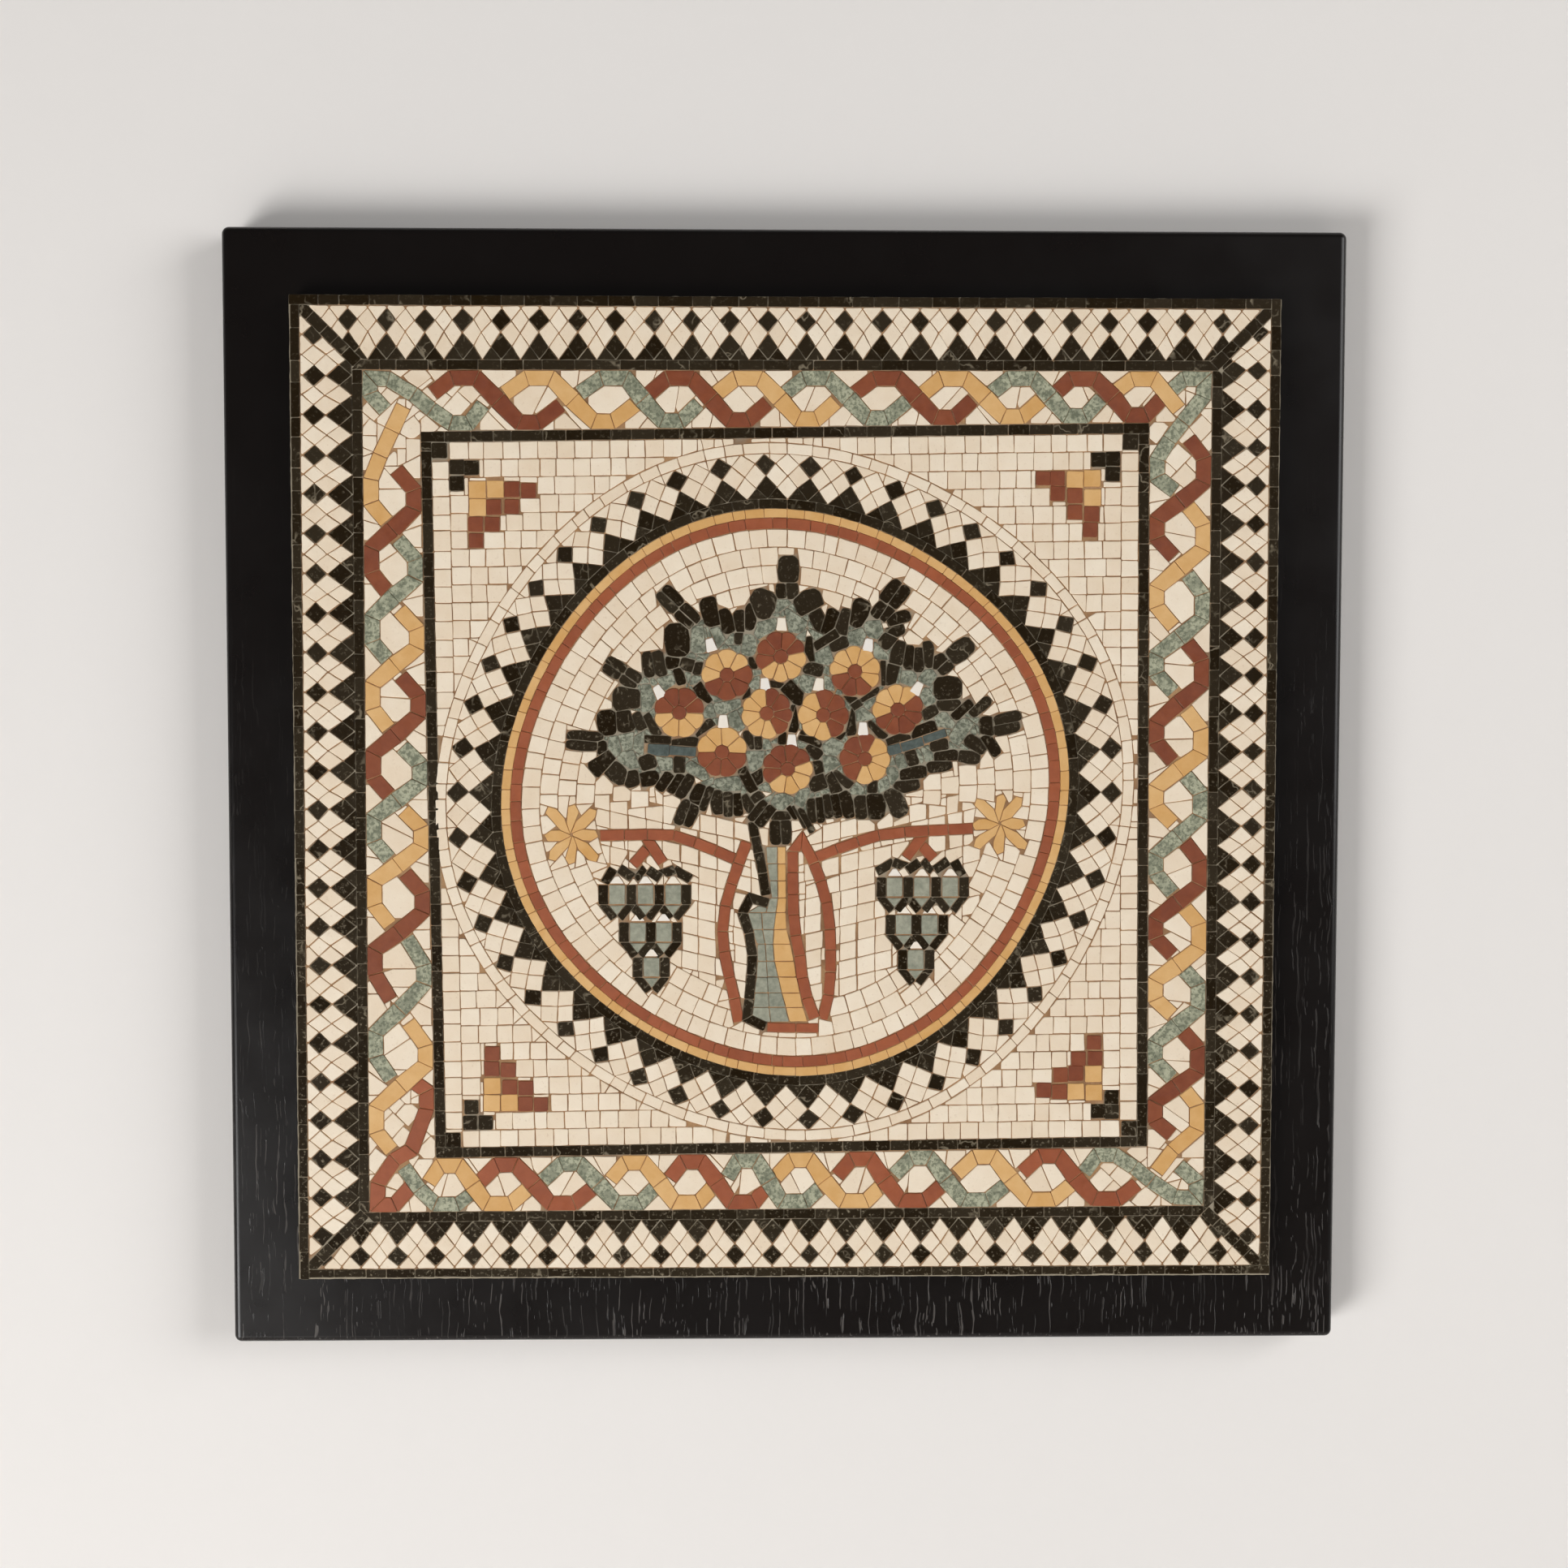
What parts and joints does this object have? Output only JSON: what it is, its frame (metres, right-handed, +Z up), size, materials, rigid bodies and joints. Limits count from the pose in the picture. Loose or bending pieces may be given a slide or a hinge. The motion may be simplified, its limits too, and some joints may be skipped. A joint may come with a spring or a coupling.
{
  "type": "mosaic panel",
  "caption": "Square natural-stone mosaic of a fruit tree in a round toothed border, inside a plaited band and a toothed band, set on a black wooden board that hangs flat on a wall.",
  "frame": {"origin": "centre of the board's flat back face, which lies against the wall", "axes": "+Y into the wall, -Y out of the picture, +Z up, +X to the viewer's right"},
  "size_m": [0.457, 0.0256, 0.457],
  "materials": {
    "wood_black": "open-grain wood stained black, semi-gloss",
    "mortar": "tan-brown mortar",
    "stone_cream": "cream limestone, honed",
    "stone_black": "black marble, honed",
    "stone_red": "red-brown marble, honed",
    "stone_yellow": "ochre yellow limestone, honed",
    "stone_green": "mottled green marble, honed",
    "stone_grey": "grey-green marble, honed"
  },
  "bodies": {
    "root": {"board": "wood_black", "setting_bed": "mortar", "stone_ground": "stone_cream", "edge_line": "stone_black", "teeth_top": "stone_black", "teeth_right": "stone_black", "teeth_bottom": "stone_black", "teeth_left": "stone_black", "mitre_top_right": "stone_black", "mitre_bottom_right": "stone_black", "mitre_bottom_left": "stone_black", "mitre_top_left": "stone_black", "inner_line": "stone_black", "corner_black_top_right": "stone_black", "corner_black_bottom_right": "stone_black", "corner_black_bottom_left": "stone_black", "corner_black_top_left": "stone_black", "round_teeth": "stone_black", "trunk_line": "stone_black", "trunk_outline": "stone_black", "corner_yellow_top_right": "stone_yellow", "corner_yellow_bottom_right": "stone_yellow", "corner_yellow_bottom_left": "stone_yellow", "corner_yellow_top_left": "stone_yellow", "yellow_ring": "stone_yellow", "trunk_yellow": "stone_yellow", "flower_left": "stone_yellow", "flower_right": "stone_yellow", "braid_top": "stone_red", "braid_right": "stone_red", "braid_bottom": "stone_red", "braid_left": "stone_red", "corner_red_top_right": "stone_red", "corner_red_bottom_right": "stone_red", "corner_red_bottom_left": "stone_red", "corner_red_top_left": "stone_red", "red_ring": "stone_red", "fruit_1": "stone_red", "fruit_2": "stone_red", "fruit_3": "stone_red", "fruit_4": "stone_red", "fruit_5": "stone_red", "fruit_6": "stone_red", "fruit_7": "stone_red", "fruit_8": "stone_red", "fruit_9": "stone_red", "fruit_10": "stone_red", "trunk_red": "stone_red", "trunk_foot": "stone_red", "stem_left": "stone_red", "stem_right": "stone_red", "crown": "stone_green", "trunk_grey": "stone_grey", "grapes_left": "stone_grey", "grapes_right": "stone_grey"}
  },
  "joints": []
}
